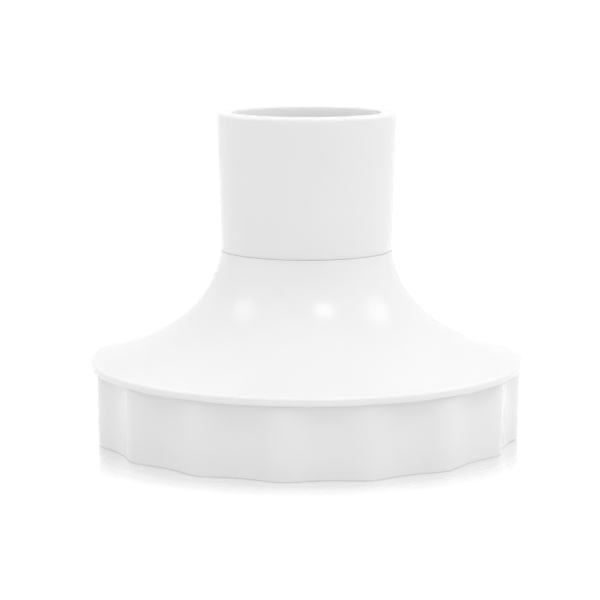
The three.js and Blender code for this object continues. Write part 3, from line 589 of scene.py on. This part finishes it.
def gasket():
    """The bowl's seal, with a lip along its middle that faces the bowl."""
    outside = high("bowl_gasket")[0]
    bottom, top = low("bowl_gasket")[2], high("bowl_gasket")[2]
    face = bottom + GASKET_LIP
    inside = outside - GASKET_WIDTH
    middle = (inside + outside) / 2
    return turned("gasket_ring", rounded([
        (inside, face, 0.3),
        (middle - GASKET_LIP_FOOT, face, 0.4),
        (middle - GASKET_LIP_TIP, bottom, 0.3),
        (middle + GASKET_LIP_TIP, bottom, 0.3),
        (middle + GASKET_LIP_FOOT, face, 0.4),
        (outside, face, 0.3),
        (outside, top, 0.5),
        (inside, top, 0.5),
    ]))


def seal():
    """The shaft seal, with a sloped lip around the output."""
    bottom, top = low("shaft_seal")[2], high("shaft_seal")[2]
    outside = high("shaft_seal")[0]
    return turned("seal_ring", rounded([
        (SEAL_LIP_RADIUS, bottom + SEAL_LIP_RISE, 0.1),
        (SEAL_MOUTH_RADIUS, bottom, 0.2),
        (outside, bottom, 0.3),
        (outside, top, 0.3),
        (SEAL_THROAT_RADIUS, top, 0.2),
    ]), HUB_ROUND)


# ------------------------------------------------------------------ drives
def corner_radius(across_flats):
    return across_flats / 2 / math.cos(math.pi / 6)


def hexagon(across_flats):
    radius = corner_radius(across_flats)
    return [(radius * math.cos(a), radius * math.sin(a)) for a in angles(6)]


def prism(name, outline, bottom, top):
    loops = [[(x, y, z) for x, y in outline] for z in (bottom, top)]
    return skin(name, loops, closed=False)


def output_socket():
    mouth = low("output_socket")[2]
    lip = high("output_socket")[0]
    top = high("output_socket")[2]
    hub = turned("output_shell", rounded([
        (HUB_CENTRE, mouth),
        (lip, mouth, 0.5),
        (lip, mouth + OUTPUT_LIP, 0.3),
        (OUTPUT_RADIUS, mouth + OUTPUT_LIP, 0.2),
        (OUTPUT_RADIUS, OUTPUT_SHOULDER, 0.3),
        (HUB_CENTRE, OUTPUT_SHOULDER),
    ], closed=False), HUB_ROUND, closed=False)
    join(hub, prism("spigot", hexagon(SPIGOT_HEX), OUTPUT_SHOULDER - OVERLAP, top))
    hex_top = mouth + OUTPUT_HEX_DEPTH
    cut(hub, prism("hex", hexagon(OUTPUT_HEX), mouth - OVERLAP, hex_top))
    lead = corner_radius(OUTPUT_HEX) + OUTPUT_LEAD
    cone = [(lead + side, mouth - side) for side in (1, -1)]
    cut(hub, turned("cone", cone, SMALL_ROUND, closed=False))
    screw_low = low("output_screw")[2] - GAP
    return cut(hub, rod("pilot", SCREW_THREAD_HOLE, screw_low, top + OVERLAP, HOLE_ROUND))


def spline_radius(angle):
    """The coupling's outline: flat-topped splines with rounded flanks."""
    share = (SPLINES * angle / (2 * math.pi)) % 1
    share = min(share, 1 - share)
    rise = min(1, max(0, (SPLINE_HALF - share) / SPLINE_FLANK))
    rise = rise * rise * (3 - 2 * rise)
    return COUPLING_CORE + (COUPLING_RADIUS - COUPLING_CORE) * rise


def drive_coupling():
    bottom = low("drive_coupling")[2]
    top = high("drive_coupling")[2]
    flange = high("drive_coupling")[0]
    shoulder = top - COUPLING_LEAD
    levels = [(0, bottom + COUPLING_FLANGE - OVERLAP / 2), (0, shoulder)]
    for i in range(1, ARC_STEPS + 1):
        a = math.pi / 2 * i / ARC_STEPS
        levels.append((COUPLING_LEAD * (1 - math.cos(a)), shoulder + COUPLING_LEAD * math.sin(a)))
    loops = []
    for inset, height in levels:
        loop = []
        for a in angles(LINER_ROUND):
            r = spline_radius(a) - inset
            loop.append((r * math.cos(a), r * math.sin(a), height))
        loops.append(loop)
    plug = skin("coupling_plug", loops, closed=False)
    base = turned("flange", rounded([
        (HUB_CENTRE, bottom),
        (flange, bottom, 0.3),
        (flange, bottom + COUPLING_FLANGE, 0.4),
        (HUB_CENTRE, bottom + COUPLING_FLANGE),
    ], closed=False), SMALL_ROUND, closed=False)
    join(plug, base)
    bore_top = high("input_shaft")[2] + GAP
    return cut(plug, rod("bore", COUPLING_BORE, bottom - OVERLAP, bore_top, BOSS_ROUND))


def screw_mesh(head_down):
    """A pan-head screw with a cross recess. Its head's bearing face is at height zero."""
    body = turned("screw", rounded([
        (SCREW_CENTRE, -SCREW_HEAD),
        (SCREW_HEAD_RADIUS, -SCREW_HEAD, 1.0),
        (SCREW_HEAD_RADIUS, 0, 0.1),
        (SCREW_RADIUS, 0),
        (SCREW_RADIUS, SCREW_LENGTH),
        (SCREW_CENTRE, SCREW_LENGTH),
    ], closed=False), BOSS_ROUND, closed=False)
    past_head, recess_floor = -SCREW_HEAD - OVERLAP, RECESS_DEPTH - SCREW_HEAD
    for turn in (0, math.pi / 2):
        bar = block("bar", RECESS_LENGTH, RECESS_WIDTH, past_head, recess_floor)
        cut(body, moved(bar, turn=turn))
    if not head_down:
        body.data.transform(Matrix.Rotation(math.pi, 4, "X"))
        smooth(body)
    return body


# ------------------------------------------------------------------ materials
NOISE_RANGE = (0.3, 0.7)  # nearly all of a noise texture's values lie between these
IOR = 1.5
SCATTERING = 0.75  # the share of the light that spreads inside a translucent plastic


def noise(nodes, links, coords, scale, detail, lowest, highest):
    """A noise value between two limits."""
    texture = nodes.new("ShaderNodeTexNoise")
    texture.inputs["Scale"].default_value = scale
    texture.inputs["Detail"].default_value = detail
    links.new(coords, texture.inputs["Vector"])
    ranged = nodes.new("ShaderNodeMapRange")
    ranged.inputs["From Min"].default_value = NOISE_RANGE[0]
    ranged.inputs["From Max"].default_value = NOISE_RANGE[1]
    ranged.inputs["To Min"].default_value = lowest
    ranged.inputs["To Max"].default_value = highest
    links.new(texture.outputs["Fac"], ranged.inputs["Value"])
    return ranged.outputs["Result"]


def material(
        name, dark, light, rough, patch, grain, bump, metallic=0.0, depth=0.0, stretch=None):
    """A surface whose colour and roughness drift over patches and whose grain stands in relief.
    patch and grain are how many of them there are to a metre. bump is the height of the grain
    and depth is how far light spreads inside a translucent plastic, both in millimetres."""
    made = bpy.data.materials.new(name)
    made.use_nodes = True
    nodes, links = made.node_tree.nodes, made.node_tree.links
    shader = nodes["Principled BSDF"]
    coords = nodes.new("ShaderNodeTexCoord").outputs["Object"]
    if stretch:
        mapping = nodes.new("ShaderNodeMapping")
        mapping.inputs["Scale"].default_value = stretch
        links.new(coords, mapping.inputs["Vector"])
        coords = mapping.outputs["Vector"]
    mix = nodes.new("ShaderNodeMix")  # its colour sockets are 6 and 7, and 2 is their result
    mix.data_type = "RGBA"
    mix.inputs[6].default_value = (*dark, 1)
    mix.inputs[7].default_value = (*light, 1)
    links.new(noise(nodes, links, coords, patch, 2, 0, 1), mix.inputs[0])
    links.new(mix.outputs[2], shader.inputs["Base Color"])
    links.new(noise(nodes, links, coords, patch * 2, 3, *rough), shader.inputs["Roughness"])
    relief = nodes.new("ShaderNodeBump")
    relief.inputs["Strength"].default_value = 1.0
    relief.inputs["Distance"].default_value = bump * MM
    links.new(noise(nodes, links, coords, grain, 4, 0, 1), relief.inputs["Height"])
    links.new(relief.outputs["Normal"], shader.inputs["Normal"])
    shader.inputs["Metallic"].default_value = metallic
    shader.inputs["IOR"].default_value = IOR
    if depth:
        shader.inputs["Subsurface Weight"].default_value = SCATTERING
        shader.inputs["Subsurface Radius"].default_value = (1.0, 1.0, 1.0)
        shader.inputs["Subsurface Scale"].default_value = depth * MM
    return made


def grey(value):
    return (value, value, value)


SLOT_MATERIALS = {
    "white_gloss": material(
        "glossy_white_plastic", grey(0.872), grey(0.888), (0.15, 0.2), 40, 900, 0.002, depth=1.2),
    "white_satin": material(
        "satin_white_plastic", grey(0.9), grey(0.915), (0.36, 0.44), 60, 1500, 0.006, depth=1.2),
    "grey_plastic": material(
        "filled_grey_plastic", grey(0.4), grey(0.46), (0.4, 0.55), 150, 2500, 0.02),
    "acetal": material(
        "acetal", (0.76, 0.74, 0.67), (0.8, 0.78, 0.71), (0.3, 0.42), 120, 1800, 0.006,
        depth=1.5),
    "steel": material(
        "turned_steel", grey(0.52), grey(0.62), (0.2, 0.36), 300, 3000, 0.004, metallic=1.0,
        stretch=(1, 1, 12)),
    "bronze": material(
        "sintered_bronze", (0.36, 0.22, 0.09), (0.5, 0.33, 0.15), (0.35, 0.6), 2500, 6000, 0.01,
        metallic=1.0),
    "black_rubber": material(
        "nitrile_rubber", grey(0.012), grey(0.022), (0.6, 0.75), 200, 4000, 0.01),
    "silicone": material(
        "silicone_rubber", grey(0.62), grey(0.68), (0.42, 0.55), 90, 1800, 0.008, depth=2.0),
}


# ------------------------------------------------------------------ assembly
def slot_of(node):
    for part in frame["record"]["subparts"]:
        if part["node"] == node:
            return part["material_slot"]
    raise KeyError(node)


def body_of(node):
    for body, members in frame["record"]["behaviour"]["bodies"].items():
        if node in members:
            return body
    raise KeyError(node)


def dress(piece, *nodes):
    """A fine piece takes the place, the finish and the motion of its CAD nodes."""
    slot = slot_of(nodes[0])
    piece.data.materials.clear()
    piece.data.materials.append(SLOT_MATERIALS[slot])
    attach(piece, body_of(nodes[0]))
    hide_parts(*nodes)
    return piece


def dress_casing():
    dress(skirt(), "skirt_ring")
    dress(bell(), "bell_cover")
    dress(collar(), "collar_sleeve")
    dress(liner(), "socket_liner")
    dress(floor_plate(), "lid_floor")
    dress(gear_cover(), "gear_cover")
    dress(gasket(), "bowl_gasket")
    dress(seal(), "shaft_seal")
    dress(output_socket(), "output_socket")
    dress(drive_coupling(), "drive_coupling")


def dress_screws():
    """Every screw is a copy of one mesh, whose shank is as long as its CAD node's."""
    for node in sorted(frame["nodes"]):
        if "_screw_" not in node:
            continue
        lowest, highest = low(node), high(node)
        head_down = not node.startswith("socket")
        screw = screw_mesh(head_down)
        screw.name = node.replace("_screw_", "_bolt_")
        seat = lowest[2] + SCREW_HEAD if head_down else highest[2] - SCREW_HEAD
        length = highest[2] - lowest[2] - SCREW_HEAD
        for vertex in screw.data.vertices:
            if abs(vertex.co.z) > SCREW_LENGTH / 2 * MM:
                vertex.co.z = math.copysign(length * MM, vertex.co.z)
        middle = [(a + b) / 2 for a, b in zip(lowest, highest)]
        screw.data.transform(Matrix.Translation((middle[0] * MM, middle[1] * MM, seat * MM)))
        dress(screw, node)


def dress_hidden():
    """The CAD nodes that stay get the fine material of their slot."""
    for name, node in frame["nodes"].items():
        if node.hide_render:
            continue
        chosen = SLOT_MATERIALS[slot_of(name)]
        if not node.material_slots:
            node.data.materials.append(chosen)
        for place in node.material_slots:
            place.material = chosen


dress_casing()
dress_screws()
dress_hidden()


# ------------------------------------------------------------------ stage
TABLE_HALF = 12.0  # metres
TABLE_ROUGHNESS = 0.12
LAMP_DISTANCE = 1.2  # metres
LAMP_AIM = 50.0

VIEW_AZIMUTH = 6.5  # degrees from the front, towards the right
VIEW_PITCH = 9.053  # degrees down
VIEW_DISTANCE = 740.0  # from the axis, along the table
VIEW_HEIGHT = 165.0
VIEW_ASIDE = -2.3  # how far the camera stands to the left of the line to the axis
SENSOR = 36.0
LENS = 129.46
CLIP_START = 0.05  # metres


def maths(nodes, links, operation, first, second):
    """A sum, product or maximum. The first is linked, and the second is linked or a number."""
    result = nodes.new("ShaderNodeMath")
    result.operation = operation
    links.new(first, result.inputs[0])
    if isinstance(second, float):
        result.inputs[1].default_value = second
    else:
        links.new(second, result.inputs[1])
    return result.outputs[0]


def mixed(nodes, links, share, first, second):
    """A mix of two shaders by a linked share."""
    mix = nodes.new("ShaderNodeMixShader")
    for i, end in enumerate((share, first, second)):
        links.new(end, mix.inputs[i])
    return mix.outputs[0]


def seen_directly(nodes, links):
    """1 for a ray from the camera, a mirror or glass, which sees the white background."""
    path = nodes.new("ShaderNodeLightPath")
    seen = path.outputs["Is Camera Ray"]
    for kind in ("Is Glossy Ray", "Is Transmission Ray"):
        seen = maths(nodes, links, "MAXIMUM", seen, path.outputs[kind])
    return seen


def studio_world(horizon, middle, zenith):
    """Soft light on a curve from the horizon through the middle to straight above, behind a white
    background. The first two are each a level, its gain to the right and its gain to the front."""
    world = bpy.data.worlds.new("studio")
    world.use_nodes = True
    bpy.context.scene.world = world
    nodes, links = world.node_tree.nodes, world.node_tree.links
    nodes.clear()
    way = nodes.new("ShaderNodeTexCoord").outputs["Generated"]
    split = nodes.new("ShaderNodeSeparateXYZ")
    links.new(way, split.inputs[0])

    def level(value, right, front):
        lean = nodes.new("ShaderNodeVectorMath")
        lean.operation = "DOT_PRODUCT"
        lean.inputs[1].default_value = (right, -front, 0)
        links.new(way, lean.inputs[0])
        return maths(nodes, links, "ADD", lean.outputs["Value"], value)

    def between(first, second):
        blend = nodes.new("ShaderNodeMix")
        links.new(split.outputs["Z"], blend.inputs[0])
        links.new(first, blend.inputs[2])
        if isinstance(second, float):
            blend.inputs[3].default_value = second
        else:
            links.new(second, blend.inputs[3])
        return blend.outputs[0]

    def background():
        shader = nodes.new("ShaderNodeBackground")
        shader.inputs["Color"].default_value = (1, 1, 1, 1)
        return shader

    middle = level(*middle)
    lower = between(level(*horizon), middle)
    upper = between(middle, zenith)
    soft, white = background(), background()
    links.new(between(lower, upper), soft.inputs["Strength"])
    seen = seen_directly(nodes, links)
    output = nodes.new("ShaderNodeOutputWorld")
    links.new(mixed(nodes, links, seen, soft.outputs[0], white.outputs[0]), output.inputs[0])


def paper(nodes, links, own_light, colour):
    """A matt surface that also glows a little."""
    light = nodes.new("ShaderNodeEmission")
    light.inputs["Color"].default_value = (*grey(own_light), 1)
    surface = nodes.new("ShaderNodeBsdfDiffuse")
    surface.inputs["Color"].default_value = (*grey(colour), 1)
    both = nodes.new("ShaderNodeAddShader")
    links.new(light.outputs[0], both.inputs[0])
    links.new(surface.outputs[0], both.inputs[1])
    return both.outputs[0]


def mirror_share(nodes, links, position, polish, reach):
    """How much of the table is a mirror: all of it beside the lid and at a low angle, and less
    further out and from above."""
    away = nodes.new("ShaderNodeVectorMath")
    away.operation = "LENGTH"
    links.new(position, away.inputs[0])
    fade = nodes.new("ShaderNodeMapRange")
    skirt_edge = high("skirt_ring")[0] * MM
    fade.inputs["From Min"].default_value = skirt_edge
    fade.inputs["From Max"].default_value = skirt_edge + reach * MM
    fade.inputs["To Min"].default_value = polish
    fade.inputs["To Max"].default_value = 0.0
    links.new(away.outputs["Value"], fade.inputs["Value"])
    facing = nodes.new("ShaderNodeLayerWeight").outputs["Facing"]
    return maths(nodes, links, "MULTIPLY", fade.outputs["Result"], facing)


def studio_floor(bounce, fill, glow, shade, polish, reach):
    """A white polished table that lights the lid from below by its bounce and a soft fill. Where it
    is seen, it is glow + shade, which passes 1 where nothing shades it, and close to the lid it
    turns into a mirror at a low angle, which fades out over reach. It is clear from below."""
    half = TABLE_HALF
    mesh = bpy.data.meshes.new("table_top")
    corners = [(-half, -half, 0), (half, -half, 0), (half, half, 0), (-half, half, 0)]
    mesh.from_pydata(corners, [], [(0, 1, 2, 3)])
    table = bpy.data.objects.new("table_top", mesh)
    bpy.context.scene.collection.objects.link(table)
    made = bpy.data.materials.new("white_table")
    made.use_nodes = True
    nodes, links = made.node_tree.nodes, made.node_tree.links
    nodes.clear()
    geometry = nodes.new("ShaderNodeNewGeometry")
    mirror = nodes.new("ShaderNodeBsdfGlossy")
    mirror.inputs["Color"].default_value = (1, 1, 1, 1)
    mirror.inputs["Roughness"].default_value = TABLE_ROUGHNESS
    share = mirror_share(nodes, links, geometry.outputs["Position"], polish, reach)
    seen_top = mixed(nodes, links, share, paper(nodes, links, glow, shade), mirror.outputs[0])
    unseen_top = paper(nodes, links, fill, bounce)
    top = mixed(nodes, links, seen_directly(nodes, links), unseen_top, seen_top)
    clear = nodes.new("ShaderNodeBsdfTransparent").outputs[0]
    output = nodes.new("ShaderNodeOutputMaterial")
    links.new(mixed(nodes, links, geometry.outputs["Backfacing"], top, clear), output.inputs[0])
    mesh.materials.append(made)


def lamp(name, azimuth, elevation, width, power):
    """A round soft lamp around the lid. Azimuth is from the camera, towards the right."""
    a, e = math.radians(azimuth + VIEW_AZIMUTH), math.radians(elevation)
    away = Vector((math.sin(a) * math.cos(e), -math.cos(a) * math.cos(e), math.sin(e)))
    data = bpy.data.lights.new(name, "AREA")
    data.shape = "DISK"
    data.size = width
    data.energy = power
    light = bpy.data.objects.new(name, data)
    light.location = Vector((0, 0, LAMP_AIM * MM)) + away * LAMP_DISTANCE
    light.rotation_euler = away.to_track_quat("Z", "Y").to_euler()
    bpy.context.scene.collection.objects.link(light)


def camera():
    data = bpy.data.cameras.new("camera")
    data.lens = LENS
    data.sensor_width = SENSOR
    data.clip_start = CLIP_START
    eye = bpy.data.objects.new("camera", data)
    turn = Matrix.Rotation(math.radians(VIEW_AZIMUTH), 4, "Z")
    place = Matrix.Translation((VIEW_ASIDE * MM, -VIEW_DISTANCE * MM, VIEW_HEIGHT * MM))
    tilt = Matrix.Rotation(math.radians(90 - VIEW_PITCH), 4, "X")
    eye.matrix_world = turn @ place @ tilt
    bpy.context.scene.collection.objects.link(eye)
    bpy.context.scene.camera = eye


camera()
studio_world(horizon=(1.27, 0.05, 0.23), middle=(0.45, 0.16, -0.28), zenith=1.16)
studio_floor(bounce=0.4, fill=0.29, glow=0.38, shade=0.81, polish=1.18, reach=33)
lamp("lamp_front", 27.8, 59.2, 0.34, 0.95)
lamp("lamp_left", -91.3, 45.7, 0.45, 0.76)
lamp("lamp_right", 100.6, 42.0, 0.45, 0.76)
bpy.context.scene.view_settings.view_transform = "Standard"
